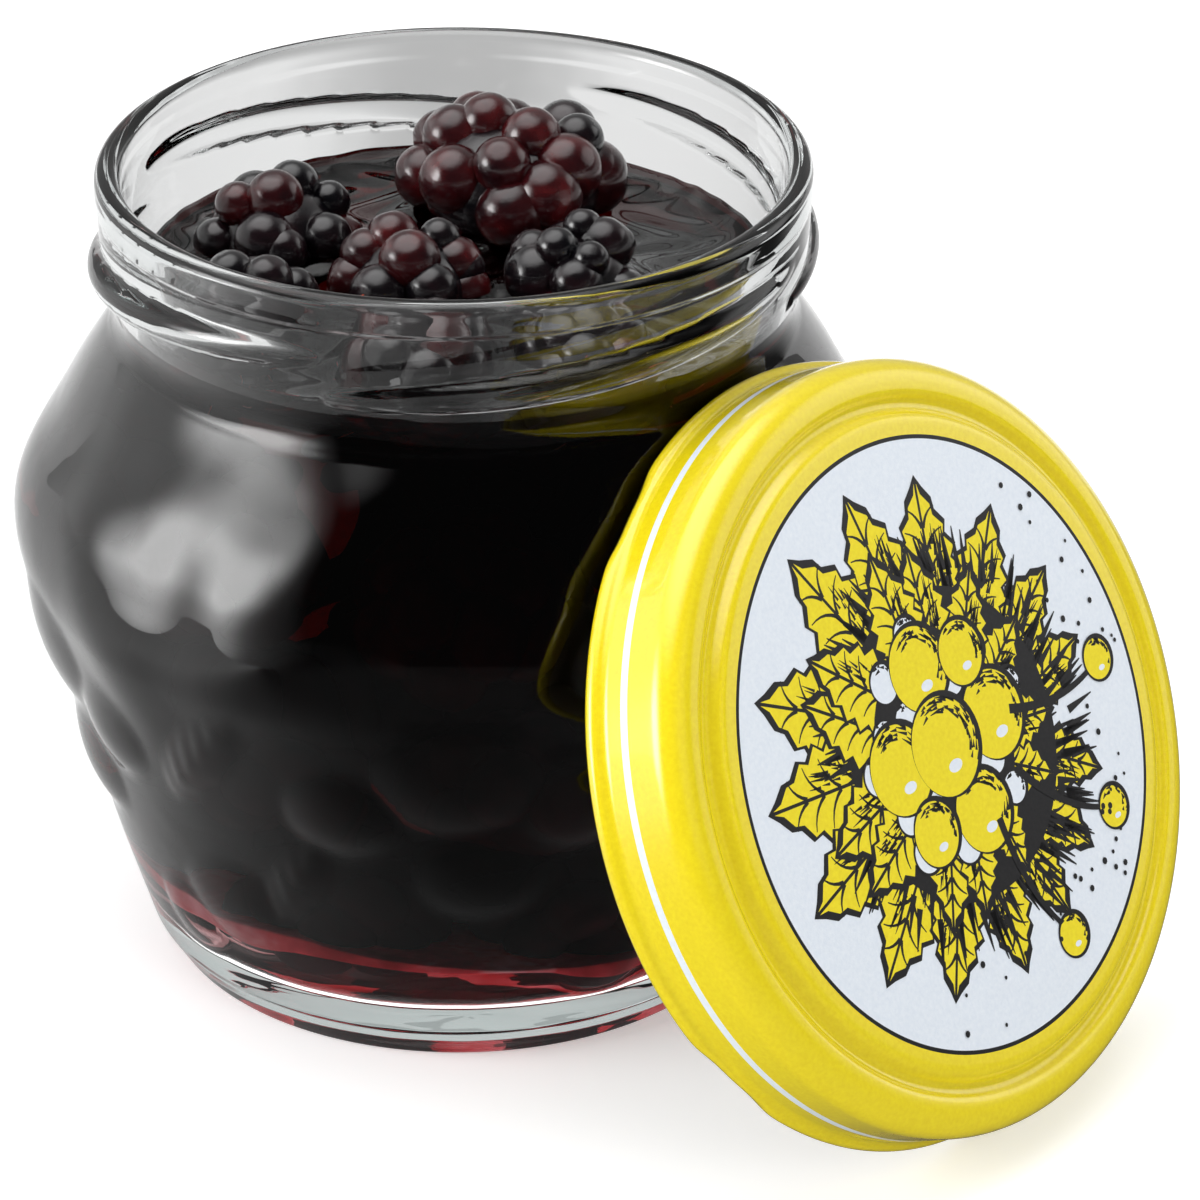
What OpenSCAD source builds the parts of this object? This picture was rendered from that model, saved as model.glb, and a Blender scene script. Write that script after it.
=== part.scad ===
// Jam pot with a twist-off lid: a round-bellied glass jar filled with dark brambles in syrup.
// The lid is off and leans on the jar, its upper edge in the neck below the threads.
// Millimetres. The jar stands on z = 0 with its axis on Z, and the lid stands beside it.

/* [Jar] */
// Height of the neck and its finish, over the shoulder
neck_h = 13; // [12.6:0.1:13.6]
// Outside diameter of the rounded rim
rim_d = 60.5; // [60.3:0.1:61.2]
// Height of the rim's straight band, below its rounded top
rim_band = 1.6; // [1:0.1:1.8]
// Height over which the finish widens to the rim's band
rim_step = 0.4; // [0.2:0.1:0.6]
// Outside diameter of the finish, the wall that carries the threads
finish_d = 60.1; // [59.2:0.1:60.2]
// Outside diameter at the foot of the neck
neck_d = 57.4; // [56.6:0.1:58.6]
// Height of the neck's foot over the belly's middle
shoulder_rise = 18.7; // [18:0.1:20]
// Widest diameter of the belly, without the relief
belly_d = 76.8; // [74:0.2:80]
// Height of the widest part of the belly
belly_z = 40.7; // [38:0.1:43]
// Radius of the belly's rounding, seen from the side
belly_round = 12.6; // [10:0.1:15]
// Diameter of the heel, where the tapered body meets the foot
heel_d = 56.8; // [54:0.2:60]
// Height of the heel
heel_z = 3; // [2:0.1:4.5]
// Diameter of the foot on the table
foot_d = 53.2; // [50:0.2:53.6]

/* [Glass] */
// Thickness of the glass in the body
wall = 2.6; // [2:0.1:3.2]
// Thickness of the bottom at its edge
bottom = 4.6; // [4:0.1:6]
// Radius of the inside corner at the bottom
inner_corner = 5; // [4:0.5:6]
// Diameter of the bore in the neck
neck_bore = 53.6; // [52:0.1:54]
// Diameter of the mouth just under the rim
mouth_bore = 56.2; // [55:0.1:56.8]
// Depth of the hollow under the foot
push_up = 1.4; // [0.6:0.1:2]
// Width of the ring that the jar stands on
foot_ring = 4.4; // [3:0.1:6]

/* [Threads] */
// Number of thread lugs round the finish
thread_count = 4; // [4:1:4]
// Radius of a lug's rounded section
thread_round = 1.5; // [1.2:0.05:1.7]
// How far a lug stands out of the finish
thread_reach = 1.4; // [0.9:0.05:1.4]
// Angle that a lug takes, its sunk ends included
thread_span = 94; // [84:1:100]
// How far the middle of a lug's bend lies off the jar's axis, which tapers its ends
thread_offset = 4.4; // [3.6:0.1:5]
// Rise of a lug over its full length
thread_rise = 3.7; // [2.8:0.1:3.8]
// Depth of a lug's middle under the rim
thread_depth = 7.1; // [6.8:0.1:7.6]
// Turn of the first lug about the jar's axis
thread_turn = -64; // [-90:1:0]

/* [Relief] */
// Number of fruit groups round the belly
fruit_groups = 5; // [4:1:5]
// Turn of the first group about the jar's axis
relief_turn = -19; // [-36:1:36]
// Height of the relief above the glass
relief = 0.8; // [0.4:0.1:1]
// Radius of the largest fruit's ball
fruit_r = 14; // [12:0.5:15]
// Length of a leaf, its sunk points included
leaf_l = 28; // [24:1:30]
// Width of a leaf in the glass
leaf_w = 9; // [7:0.5:10]

/* [Filling] */
// Depth of the syrup's surface under the rim
headspace = 11.6; // [10:0.1:13]
// Gap between the syrup and the glass
syrup_gap = 0.05; // [0.02:0.01:0.1]
// Gap between a berry and the syrup round it
pocket_gap = 0.15; // [0.1:0.05:0.2]
// Width of a berry in the lower layers
berry_w = 17.8; // [16:0.1:18]
// Gap between the lower layers of berries
layer_gap = 0.5; // [0.4:0.1:0.8]
// Radius of the ring of berries in the lowest layer
low_ring = 18.4; // [18.3:0.1:18.6]
// Radius of the ring of berries in the middle layer
mid_ring = 22.6; // [22:0.1:22.8]
// Radius of the ring of berries in the upper layer
high_ring = 24.5; // [24:0.1:24.6]
// Radius of a lower berry's drupelets
drupelet_r = 3.3; // [3:0.1:3.6]
// Number of a lower berry's drupelets
drupelets = 16; // [12:1:20]
// Width of a usual berry at the top
top_berry_w = 15; // [14:0.1:15.4]
// Height of a usual berry at the top
top_berry_h = 15; // [14:0.1:15.4]
// Radius of the drupelets of the berries at the top
top_drupelet_r = 2.6; // [2.4:0.1:2.8]
// Number of drupelets on a berry at the top
top_drupelets = 26; // [20:1:30]

/* [Lid] */
// Largest diameter of the lid, over its curled edge
lid_d = 66; // [65.6:0.1:67]
// Height of the lid
lid_h = 9.8; // [9.4:0.1:10.4]
// Thickness of the sheet
sheet = 0.4; // [0.3:0.05:0.5]
// Radius of the curled edge
curl_r = 0.85; // [0.7:0.05:1]
// How far the skirt stands in from the curl's outside
skirt_inset = 0.7; // [0.5:0.05:0.9]
// Width of the rounded shoulder
lid_round = 2.4; // [2:0.1:2.8]
// How far the raised rim of the face lies below the panel
crest_drop = 0.5; // [0.3:0.05:0.7]
// Depth of the groove round the panel, below the panel
groove_drop = 1.4; // [1:0.1:1.7]
// Diameter of the groove
groove_d = 56.4; // [55.8:0.2:57]
// Diameter of the flat panel
panel_d = 53.2; // [52:0.2:54]
// Number of lugs pressed into the curl
lid_lugs = 4; // [4:1:4]
// Angle that a pressed lug takes
lid_lug_span = 18; // [14:1:22]
// Clear diameter between the pressed lugs
lid_lug_bore = 61; // [60.8:0.1:61.4]
// Radius of a pressed lug
lid_lug_r = 0.8; // [0.7:0.05:0.9]
// Turn of the lugs about the lid's axis
lid_turn = 22; // [0:1:45]
// Thickness of the sealing ring
seal_h = 0.8; // [0.6:0.1:1]
// Width of the sealing ring
seal_w = 2.6; // [2:0.1:3]
// Gap between the sealing ring and the sheet
seal_gap = 0.05; // [0.02:0.01:0.1]

/* [Pose of the lid] */
// Angle between the leaning lid and the upright
lean = 25.5; // [23:0.5:26.5]
// Direction in which the lid stands beside the jar, seen from above
lean_turn = -40; // [-60:1:-30]
// Gap between the lid and the jar where it leans
lean_gap = 0.3; // [0.2:0.05:0.5]
// Gap between the lid's edge and the table
stand_gap = 0.3; // [0.1:0.1:0.4]

/* [Hidden] */
$fn = 96;

glass_colour = [0.80, 0.84, 0.84, 0.45];
syrup_colour = [0.35, 0.02, 0.04, 0.8];
dark_berry = [0.06, 0.03, 0.05];
red_berry = [0.22, 0.03, 0.04];
enamel = [0.93, 0.87, 0.07];
compound = [0.88, 0.87, 0.82];

// Points and directions of the body's outline. The belly's circle meets two tangent lines.
finish_r = finish_d / 2;
shoulder_z = belly_z + shoulder_rise;
jar_h = shoulder_z + neck_h;
neck_r = neck_d / 2;
heel_r = heel_d / 2;
belly_x = belly_d / 2 - belly_round;
heel_dx = heel_r - belly_x;
heel_dz = heel_z - belly_z;
low_angle = atan2(heel_dz, heel_dx)
    + acos(belly_round / sqrt(heel_dx * heel_dx + heel_dz * heel_dz));
neck_dx = neck_r - belly_x;
neck_dz = shoulder_z - belly_z;
high_angle = atan2(neck_dz, neck_dx)
    - acos(belly_round / sqrt(neck_dx * neck_dx + neck_dz * neck_dz));
rim_r = rim_d / 2;
mouth_r = mouth_bore / 2;
rim_round = (rim_d - mouth_bore) / 4;
band_z = jar_h - rim_round - rim_band;
finish_z = jar_h - thread_depth;
syrup_z = jar_h - headspace;
syrup_h = syrup_z - bottom;

// Layers of berries, as shares of the syrup's height: the lowest middle and the step.
layer_share = 0.141;
layer_step_share = 0.274;
layer_z = bottom + layer_share * syrup_h;
layer_step = layer_step_share * syrup_h;
berry_h = layer_step - layer_gap;

// A lug's middle line at its highest point, and its tilt.
thread_path = finish_r + thread_reach - thread_round;
thread_pitch = asin(thread_rise / 2 / thread_path / sin(thread_span / 2));

// The lid's own outline, with t measured from the open edge.
lid_r = lid_d / 2;
curl_path = lid_r - curl_r;
skirt_r = lid_r - skirt_inset;
panel_t = lid_h;
crest_t = lid_h - crest_drop;
groove_t = lid_h - groove_drop;
shoulder_x = skirt_r - lid_round;
shoulder_t = crest_t - lid_round;
seal_out = shoulder_x + sheet;
seal_in = seal_out - seal_w;

// The leaning lid: its open edge stands on the table and its top rests in the neck.
lid_z = curl_path * cos(lean) - curl_r * sin(lean) + curl_r + stand_gap;
lid_top_z = lid_z + curl_path * cos(lean) + curl_r * sin(lean);
rest_on_shoulder = neck_r
    + (curl_r + lean_gap + (shoulder_z - lid_top_z) * sin(high_angle)) / cos(high_angle);
rest_on_neck = neck_r + curl_r + lean_gap;
lid_x = max(rest_on_shoulder, rest_on_neck) + curl_path * sin(lean) - curl_r * cos(lean);

// Top berries: distance from the axis as a share of the bore's radius, angle, then the rise of
// the middle over the syrup and the height as shares of a usual height, and the width likewise.
large_shares = [0.571, 71, 0.227, 1, 1.373];
left_shares = [0.649, 151, -0.013, 0.987, 1.027];
front_shares = [0.183, 215, 0.013, 0.947, 0.947];
right_shares = [0.384, 350, 0, 0.907, 0.907];
left_front_shares = [0.69, 202, -0.013, 0.853, 0.853];
near_shares = [0.653, 260, -0.027, 0.88, 0.88];
near_right_shares = [0.739, 302, -0.04, 0.827, 0.827];
all_top_shares = [
    large_shares, left_shares, front_shares, right_shares,
    left_front_shares, near_shares, near_right_shares
];

// Golden angle: successive drupelets turn by it, so that they spread evenly.
golden_turn = 137.508;
full_turn = 360;

// How far a straight line's end sinks into the round that it runs into.
seam = 0.02;

// Fruits of a group: angle as a share of the step between groups, height as a share of the
// belly's height, and the ball's radius as a share of the largest.
fruit_shares = [
    [0, 0.885, 1],
    [-0.217, 0.749, 0.71],
    [0.229, 0.762, 0.68],
    [0.048, 0.602, 0.79],
    [0.494, 0.418, 0.79],
    [0.326, 0.307, 0.54]
];

// Leaves of a group: angle and height as for the fruits, then the slope.
leaf_shares = [
    [0.5, 0.762, -38],
    [-0.338, 0.467, -30]
];

// Point on the belly's circle, grown or shrunk by skin, in the direction angle.
function belly_point(skin, angle) = [
    belly_x + (belly_round + skin) * cos(angle),
    belly_z + (belly_round + skin) * sin(angle)
];

// Radius of the tapered body at height z, grown or shrunk by skin.
function taper_r(skin, z) = belly_point(skin, low_angle)[0]
    + (z - belly_point(skin, low_angle)[1]) * -tan(low_angle);

// Radius of the shoulder's cone at height z.
function shoulder_r(skin, z) = belly_point(skin, high_angle)[0]
    - (z - belly_point(skin, high_angle)[1]) * tan(high_angle);

// Height at which the shoulder's cone has radius r.
function shoulder_height(skin, r) = belly_point(skin, high_angle)[1]
    + (belly_point(skin, high_angle)[0] - r) / tan(high_angle);

// Half outline of the body up to the neck, grown by skin, standing on z = 0.
module body_outline(skin) {
    polygon([
        [0, 0],
        [foot_d / 2, 0],
        [taper_r(skin, heel_z), heel_z],
        belly_point(skin - seam, low_angle),
        belly_point(skin - seam, high_angle),
        [shoulder_r(skin, shoulder_z), shoulder_z],
        [0, shoulder_z]
    ]);
    translate([belly_x, belly_z])
        circle(r = belly_round + skin);
}

// Half outline of the neck and finish. The rim is round and the mouth widens up to it.
module finish_outline() {
    polygon([
        [0, shoulder_z - wall],
        [neck_r, shoulder_z - wall],
        [neck_r, shoulder_z],
        [finish_r, finish_z],
        [finish_r, band_z - rim_step],
        [rim_r, band_z],
        [rim_r, jar_h - rim_round],
        [mouth_r + seam, jar_h - rim_round],
        [neck_bore / 2, syrup_z],
        [0, syrup_z]
    ]);
    translate([rim_r - rim_round, jar_h - rim_round])
        circle(r = rim_round);
}

// Half outline of the inside, shrunk by gap, up to the height top.
module cavity_outline(gap, top) {
    neck_in = neck_bore / 2 - gap;
    corner_z = bottom + inner_corner;
    corner_x = taper_r(-wall - inner_corner, corner_z);
    corner_r = inner_corner - gap;
    polygon([
        [0, bottom + gap],
        [corner_x, bottom + gap],
        [corner_x, corner_z],
        [corner_x + (corner_r - seam) * cos(low_angle), corner_z + (corner_r - seam) * sin(low_angle)],
        belly_point(-wall - gap - seam, low_angle),
        belly_point(-wall - gap - seam, high_angle),
        [neck_in, shoulder_height(-wall - gap, neck_in)],
        [neck_in, top],
        [0, top]
    ]);
    translate([corner_x, corner_z])
        circle(r = corner_r);
    translate([belly_x, belly_z])
        circle(r = belly_round - wall - gap);
}

// One thread lug, centred on the +X side. It bends tighter than the glass, so its ends sink.
module thread_lug() {
    translate([0, 0, jar_h - thread_depth])
        rotate([thread_pitch, 0, 0])
            translate([thread_offset, 0, 0])
                rotate([0, 0, -thread_span / 2])
                    rotate_extrude(angle = thread_span)
                        translate([thread_path - thread_offset, 0])
                            circle(r = thread_round);
}

// A leaf: a spindle pointed at both ends, sunk into the glass up to the relief's height.
module leaf(z, tilt) {
    bow = (leaf_l * leaf_l / leaf_w + leaf_w) / 4;
    translate([taper_r(relief, z) - leaf_w / 2, 0, z])
        rotate([tilt, -low_angle, 0])
            rotate_extrude()
                intersection() {
                    translate([leaf_w / 2 - bow, 0])
                        circle(r = bow);
                    translate([0, -leaf_l])
                        square(2 * leaf_l);
                }
}

// One fruit: a ball sunk into the glass up to the relief's height.
module fruit(z, size) {
    translate([taper_r(relief, z) - size, 0, z])
        sphere(r = size);
}

// Raised fruit and leaves round the belly.
module relief_work() {
    step = full_turn / fruit_groups;
    for (i = [0 : fruit_groups - 1]) {
        for (shares = fruit_shares)
            rotate([0, 0, relief_turn + (i + shares[0]) * step])
                fruit(shares[1] * belly_z, shares[2] * fruit_r);
        for (shares = leaf_shares)
            rotate([0, 0, relief_turn + (i + shares[0]) * step])
                leaf(shares[1] * belly_z, shares[2]);
    }
}

module glass_jar() {
    color(glass_colour)
        difference() {
            union() {
                rotate_extrude()
                    body_outline(0);
                rotate_extrude()
                    finish_outline();
                for (i = [0 : thread_count - 1])
                    rotate([0, 0, thread_turn + i * full_turn / thread_count])
                        thread_lug();
                relief_work();
            }
            rotate_extrude()
                cavity_outline(0, jar_h);
            translate([0, 0, -push_up])
                cylinder(
                    r1 = foot_d / 2 - foot_ring + push_up,
                    r2 = foot_d / 2 - foot_ring - push_up,
                    h = 2 * push_up
                );
        }
}

// Space that a berry takes, grown by gap: a ball with its top and bottom cut flat.
module berry_space(size, height, gap) {
    intersection() {
        sphere(r = size / 2 + gap);
        translate([0, 0, -height / 2 - gap])
            cylinder(r = size, h = height + 2 * gap);
    }
}

// One berry: drupelets spread over a flattened ball, round a core.
module berry(size, height, bead, count) {
    union() {
        for (i = [0 : count - 1]) {
            rise = 1 - 2 * (i + 0.5) / count;
            reach = sqrt(1 - rise * rise);
            translate([
                (size / 2 - bead) * reach * cos(i * golden_turn),
                (size / 2 - bead) * reach * sin(i * golden_turn),
                (height / 2 - bead) * rise
            ])
                sphere(r = bead, $fn = 24);
        }
        sphere(r = height / 2 - bead / 2, $fn = 32);
    }
}

// Puts its children at the place of berry number n in a ring.
module ring_place(layer, ring, count, n) {
    rotate([0, 0, (n + layer / 2) * full_turn / count])
        translate([ring, 0, layer_z + layer * layer_step])
            children();
}

// Puts its children at the place of a top berry.
module top_place(shares) {
    rotate([0, 0, shares[1]])
        translate([shares[0] * neck_bore / 2, 0, syrup_z + shares[2] * top_berry_h])
            children();
}

module layer_berry(layer, ring, count, n) {
    color(dark_berry)
        ring_place(layer, ring, count, n)
            berry(berry_w, berry_h, drupelet_r, drupelets);
}

module top_berry(shares, tint) {
    color(tint)
        top_place(shares)
            berry(
                shares[4] * top_berry_w, shares[3] * top_berry_h,
                top_drupelet_r, top_drupelets
            );
}

module layer_pockets(layer, ring, count) {
    for (n = [0 : count - 1])
        ring_place(layer, ring, count, n)
            berry_space(berry_w, berry_h, pocket_gap);
    ring_place(layer, 0, 1, 0)
        berry_space(berry_w, berry_h, pocket_gap);
}

module syrup() {
    color(syrup_colour)
        difference() {
            rotate_extrude()
                cavity_outline(syrup_gap, syrup_z);
            layer_pockets(0, low_ring, 6);
            layer_pockets(1, mid_ring, 7);
            layer_pockets(2, high_ring, 8);
            for (shares = all_top_shares)
                top_place(shares)
                    berry_space(shares[4] * top_berry_w, shares[3] * top_berry_h, pocket_gap);
        }
}

// Half outline of the lid's sheet, moved in by skin.
module lid_outline(skin) {
    polygon([
        [0, curl_r - skin],
        [skirt_r - skin, curl_r - skin],
        [skirt_r - skin, shoulder_t],
        [shoulder_x, shoulder_t],
        [shoulder_x, crest_t - skin],
        [groove_d / 2, groove_t - skin],
        [panel_d / 2, panel_t - skin],
        [0, panel_t - skin]
    ]);
    translate([shoulder_x, shoulder_t])
        circle(r = lid_round - skin);
}

// The lid's sheet in its own place: the open edge at t = 0, the face upwards.
module lid_sheet() {
    difference() {
        rotate_extrude()
            lid_outline(0);
        rotate_extrude()
            lid_outline(sheet);
    }
    rotate_extrude()
        translate([curl_path, curl_r])
            circle(r = curl_r);
    for (i = [0 : lid_lugs - 1])
        rotate([0, 0, lid_turn + i * full_turn / lid_lugs])
            rotate_extrude(angle = lid_lug_span)
                translate([lid_lug_bore / 2 + lid_lug_r, curl_r])
                    circle(r = lid_lug_r);
}

// Puts its children in the leaning lid's place.
module lid_place() {
    rotate([0, 0, lean_turn])
        translate([lid_x, 0, lid_z])
            rotate([0, 90 - lean, 0])
                children();
}

module lid_shell() {
    color(enamel)
        lid_place()
            lid_sheet();
}

// Ring of sealing compound under the lid's shoulder, where the jar's rim presses.
module sealing_ring() {
    low = groove_t - sheet - seal_gap - seal_h;
    color(compound)
        lid_place()
            rotate_extrude()
                polygon([
                    [seal_in, low],
                    [seal_out, low],
                    [seal_out, shoulder_t],
                    [shoulder_x, crest_t - sheet - seal_gap],
                    [groove_d / 2, groove_t - sheet - seal_gap],
                    [seal_in, groove_t - sheet - seal_gap]
                ]);
}

glass_jar();
syrup();
top_berry(large_shares, red_berry);  // berry_top_large
top_berry(left_shares, dark_berry);  // berry_top_left
top_berry(front_shares, red_berry);  // berry_top_front
top_berry(right_shares, dark_berry);  // berry_top_right
top_berry(left_front_shares, dark_berry);  // berry_top_left_front
top_berry(near_shares, red_berry);  // berry_top_near
top_berry(near_right_shares, dark_berry);  // berry_top_near_right
layer_berry(0, low_ring, 6, 0);  // berry_low_1
layer_berry(0, low_ring, 6, 1);  // berry_low_2
layer_berry(0, low_ring, 6, 2);  // berry_low_3
layer_berry(0, low_ring, 6, 3);  // berry_low_4
layer_berry(0, low_ring, 6, 4);  // berry_low_5
layer_berry(0, low_ring, 6, 5);  // berry_low_6
layer_berry(0, 0, 1, 0);  // berry_low_centre
layer_berry(1, mid_ring, 7, 0);  // berry_mid_1
layer_berry(1, mid_ring, 7, 1);  // berry_mid_2
layer_berry(1, mid_ring, 7, 2);  // berry_mid_3
layer_berry(1, mid_ring, 7, 3);  // berry_mid_4
layer_berry(1, mid_ring, 7, 4);  // berry_mid_5
layer_berry(1, mid_ring, 7, 5);  // berry_mid_6
layer_berry(1, mid_ring, 7, 6);  // berry_mid_7
layer_berry(1, 0, 1, 0);  // berry_mid_centre
layer_berry(2, high_ring, 8, 0);  // berry_high_1
layer_berry(2, high_ring, 8, 1);  // berry_high_2
layer_berry(2, high_ring, 8, 2);  // berry_high_3
layer_berry(2, high_ring, 8, 3);  // berry_high_4
layer_berry(2, high_ring, 8, 4);  // berry_high_5
layer_berry(2, high_ring, 8, 5);  // berry_high_6
layer_berry(2, high_ring, 8, 6);  // berry_high_7
layer_berry(2, high_ring, 8, 7);  // berry_high_8
layer_berry(2, 0, 1, 0);  // berry_high_centre
lid_shell();
sealing_ring();
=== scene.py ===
"""Looks of the jam pot: glass jar, syrup, berries and leaning lid. Sizes below are in millimetres."""
import math

import bpy
import numpy as np
from mathutils import Matrix, Vector


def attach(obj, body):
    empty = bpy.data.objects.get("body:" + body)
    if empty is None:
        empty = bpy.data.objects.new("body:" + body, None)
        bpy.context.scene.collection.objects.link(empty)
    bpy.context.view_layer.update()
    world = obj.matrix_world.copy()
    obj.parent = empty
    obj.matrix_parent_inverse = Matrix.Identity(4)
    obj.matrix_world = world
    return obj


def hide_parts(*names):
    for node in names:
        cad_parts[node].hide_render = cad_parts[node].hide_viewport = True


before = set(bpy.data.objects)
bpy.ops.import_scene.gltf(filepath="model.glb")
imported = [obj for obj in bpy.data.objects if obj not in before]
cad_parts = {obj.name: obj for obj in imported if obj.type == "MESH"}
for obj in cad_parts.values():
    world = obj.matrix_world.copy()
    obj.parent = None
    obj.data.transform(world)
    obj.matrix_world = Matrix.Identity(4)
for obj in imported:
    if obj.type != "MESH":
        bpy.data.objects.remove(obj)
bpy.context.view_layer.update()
MM = 0.001
# Turn between one drupelet or fruit and the next on a spiral
GOLDEN = math.radians(137.508)

# Sizes, as in the part's source
JAR_H, FINISH_R, NECK_R, SHOULDER_Z = 72.4, 30.05, 28.7, 59.4
HEEL_R, HEEL_Z, FOOT_R = 28.4, 3.0, 26.6
BELLY_R, BELLY_Z, BELLY_ROUND = 38.4, 40.7, 12.6
WALL, BOTTOM, INNER_CORNER, BORE_ROUND = 2.6, 4.6, 5.0, 3.0
BORE_R, MOUTH_R, RIM_ROUND = 26.8, 28.1, 1.075
RIM_R, RIM_BAND, RIM_STEP = 30.25, 1.6, 0.4
FOOT_IN, RECESS_R, RECESS = 22.2, 20.8, 1.4
SYRUP_Z = 60.8
# How far the surface climbs at the glass, at a berry and at most, and the height of its ripples
CLIMB_WALL, CLIMB_FRUIT, CLIMB_MOST, RIPPLE = 1.5, 0.75, 1.7, 0.12
# Painted glow at the wall, a pink-red ribbon standing in for light through the syrup: height of its middle,
# and how far in from the glass
STREAK_Z, STREAK_IN = 9.75, 0.55
RELIEF, RELIEF_TURN, LEAF_L, LEAF_W, GROUPS = 0.8, -19.0, 28.0, 9.0, 5
# Share of the relief's height that the scene shows, and how softly its forms meet each other and the glass
RELIEF_SHOWN, RELIEF_BLEND, RELIEF_EDGE = 0.7, 0.12, 0.14
# Depth below the glass at which a form ends
RELIEF_LOW = -0.6
# Midrib and side veins of a moulded leaf: heights, and the step between veins
MIDRIB, VEIN, VEIN_STEP = 0.16, 0.1, 2.6
# Radii at which an angle on the glass counts as a length
LEAF_AT_R, SWELL_AT_R = 35, 37
# The waves are lower where the window is mirrored: middle and width of that place
CALM_AT, CALM_WIDTH = math.radians(228), 0.75
# Fruits of a group: share of the step between groups, height and ball radius
FRUITS = [(0, 36.02, 14.0), (-0.217, 30.48, 9.94), (0.229, 31.01, 9.52), (0.048, 24.5, 11.06),
          (0.494, 17.01, 11.06), (0.326, 12.49, 7.56)]
# Leaves of a group: share of the step, height and tilt
LEAVES = [(0.5, 31.01, -38), (-0.338, 19.0, -30)]
# Swells of the glass: angle, height, half widths along and across, tilt, rise
SWELLS = [
    (235, 44.8, 10.6, 2.6, 5, -0.51), (217, 44.7, 5.3, 11.9, -38, -0.52), (255, 55.6, 3.3, 3.6, 88, 0.54),
    (254, 51.5, 8.4, 4.5, -50, 0.54), (224, 51.6, 2.6, 8.0, -89, 0.31), (214, 43.3, 3.1, 9.5, 30, 0.54),
    (244, 40.1, 9.3, 2.8, 16, 0.49), (250, 50.4, 9.8, 2.6, 28, 0.55), (202, 52.3, 12.0, 2.6, 15, -0.55),
    (230, 43.7, 3.0, 5.5, 3, -0.49),
]
THREADS, THREAD_R, THREAD_PATH, THREAD_OFF, THREAD_RISE = 4, 1.5, 29.95, 4.4, 3.7
THREAD_Z, THREAD_SPAN, THREAD_TURN = 65.3, 94.0, -64.0
LEAN, LEAN_TURN, LID_X, LID_Z = math.radians(25.5), math.radians(-40), 43.282, 29.802
# Berries at the surface: distance from the axis, angle, height, width and height of the berry
TOPS = {
    "large": (15.3, 71, 64.2, 20.6, 15.0), "left": (17.4, 151, 60.6, 15.4, 14.8),
    "front": (4.9, 215, 61.0, 14.2, 14.2), "right": (10.3, 350, 60.8, 13.6, 13.6),
    "left_front": (18.5, 202, 60.6, 12.8, 12.8), "near": (17.5, 260, 60.4, 13.2, 13.2),
    "near_right": (19.8, 302, 60.2, 12.4, 12.4),
}
# Layers of sunk berries: name, number, radius of the ring and berries on it
LAYERS = [("low", 0, 18.4, 6), ("mid", 1, 22.6, 7), ("high", 2, 24.5, 8)]
LAYER_Z, LAYER_STEP, BERRY_W, BERRY_H = 12.524, 15.4, 17.8, 14.9
DRUPELET_R, DRUPELETS, TOP_DRUPELET_R, TOP_DRUPELETS = 3.3, 16, 2.6, 26
# Dimple at a drupelet's tip: share of its radius, and width in radians
DIMPLE, DIMPLE_WIDTH = 0.055, 0.22

# The photograph's viewpoint: distance, elevation, height aimed at, and focal length in its pixels
EYE_D, EYE_E, EYE_Z, EYE_F = 446.0, math.radians(27.3), 36.0, 6000.0
# Width and middle of the photograph in pixels, and its pixels in a millimetre at the berries
PHOTO_W, PHOTO_X, PHOTO_Y, PHOTO_MM = 1200, 599, 600, 13.2
# The scene's frame is wider: how far its middle lies right of and below the photograph's, and its scale
FRAME_X, FRAME_Y, FRAME_SCALE = 164, 72, 0.85
EYE = np.array([0, -EYE_D * math.cos(EYE_E), EYE_Z + EYE_D * math.sin(EYE_E)])
FWD = np.array([0, math.cos(EYE_E), -math.sin(EYE_E)])
UP = np.array([0, math.sin(EYE_E), math.cos(EYE_E)])
RIGHT = np.array([1.0, 0, 0])


# Mesh helpers
def mesh(name, verts, faces, mats, index=None, smooth=True):
    """An object of points in millimetres. index gives each face's material."""
    data = bpy.data.meshes.new(name)
    data.from_pydata((np.asarray(verts, float) * MM).tolist(), [], faces)
    for m in mats:
        data.materials.append(m)
    if index is not None:
        data.polygons.foreach_set("material_index", np.asarray(index, np.int32))
    if smooth:
        data.polygons.foreach_set("use_smooth", np.ones(len(data.polygons), bool))
    data.validate()
    data.update()
    obj = bpy.data.objects.new(name, data)
    bpy.context.scene.collection.objects.link(obj)
    return obj


def rounded(points, radii, piece):
    """The open polyline with each corner turned into an arc of its radius, in pieces of a length."""
    pts = [np.array(p, float) for p in points]
    out = [pts[0]]
    for i in range(1, len(pts) - 1):
        a, b, c = pts[i - 1], pts[i], pts[i + 1]
        u = (a - b) / np.linalg.norm(a - b)
        v = (c - b) / np.linalg.norm(c - b)
        half = math.acos(max(-1, min(1, float(u @ v)))) / 2
        r = radii[i]
        if r <= 0 or half > math.pi / 2 - 1e-3:
            out.append(b)
            continue
        cut = r / math.tan(half)
        mid = b + (u + v) / np.linalg.norm(u + v) * r / math.sin(half)
        p, q = b + u * cut, b + v * cut
        t0 = math.atan2(*(p - mid)[::-1])
        t1 = math.atan2(*(q - mid)[::-1])
        turn = (t1 - t0 + math.pi) % (2 * math.pi) - math.pi
        n = max(3, int(abs(turn) * r / piece), int(abs(turn) / 0.16))
        for k in range(n + 1):
            t = t0 + turn * k / n
            out.append(mid + r * np.array([math.cos(t), math.sin(t)]))
    out.append(pts[-1])
    return np.array(out)


def dense(line, step):
    """The polyline with no piece longer than step. Step may be a function of a point."""
    out = [line[0]]
    for a, b in zip(line[:-1], line[1:]):
        s = step(a) if callable(step) else step
        n = max(1, int(math.ceil(np.linalg.norm(b - a) / s)))
        for k in range(1, n + 1):
            out.append(a + (b - a) * k / n)
    return np.array(out)


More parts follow.
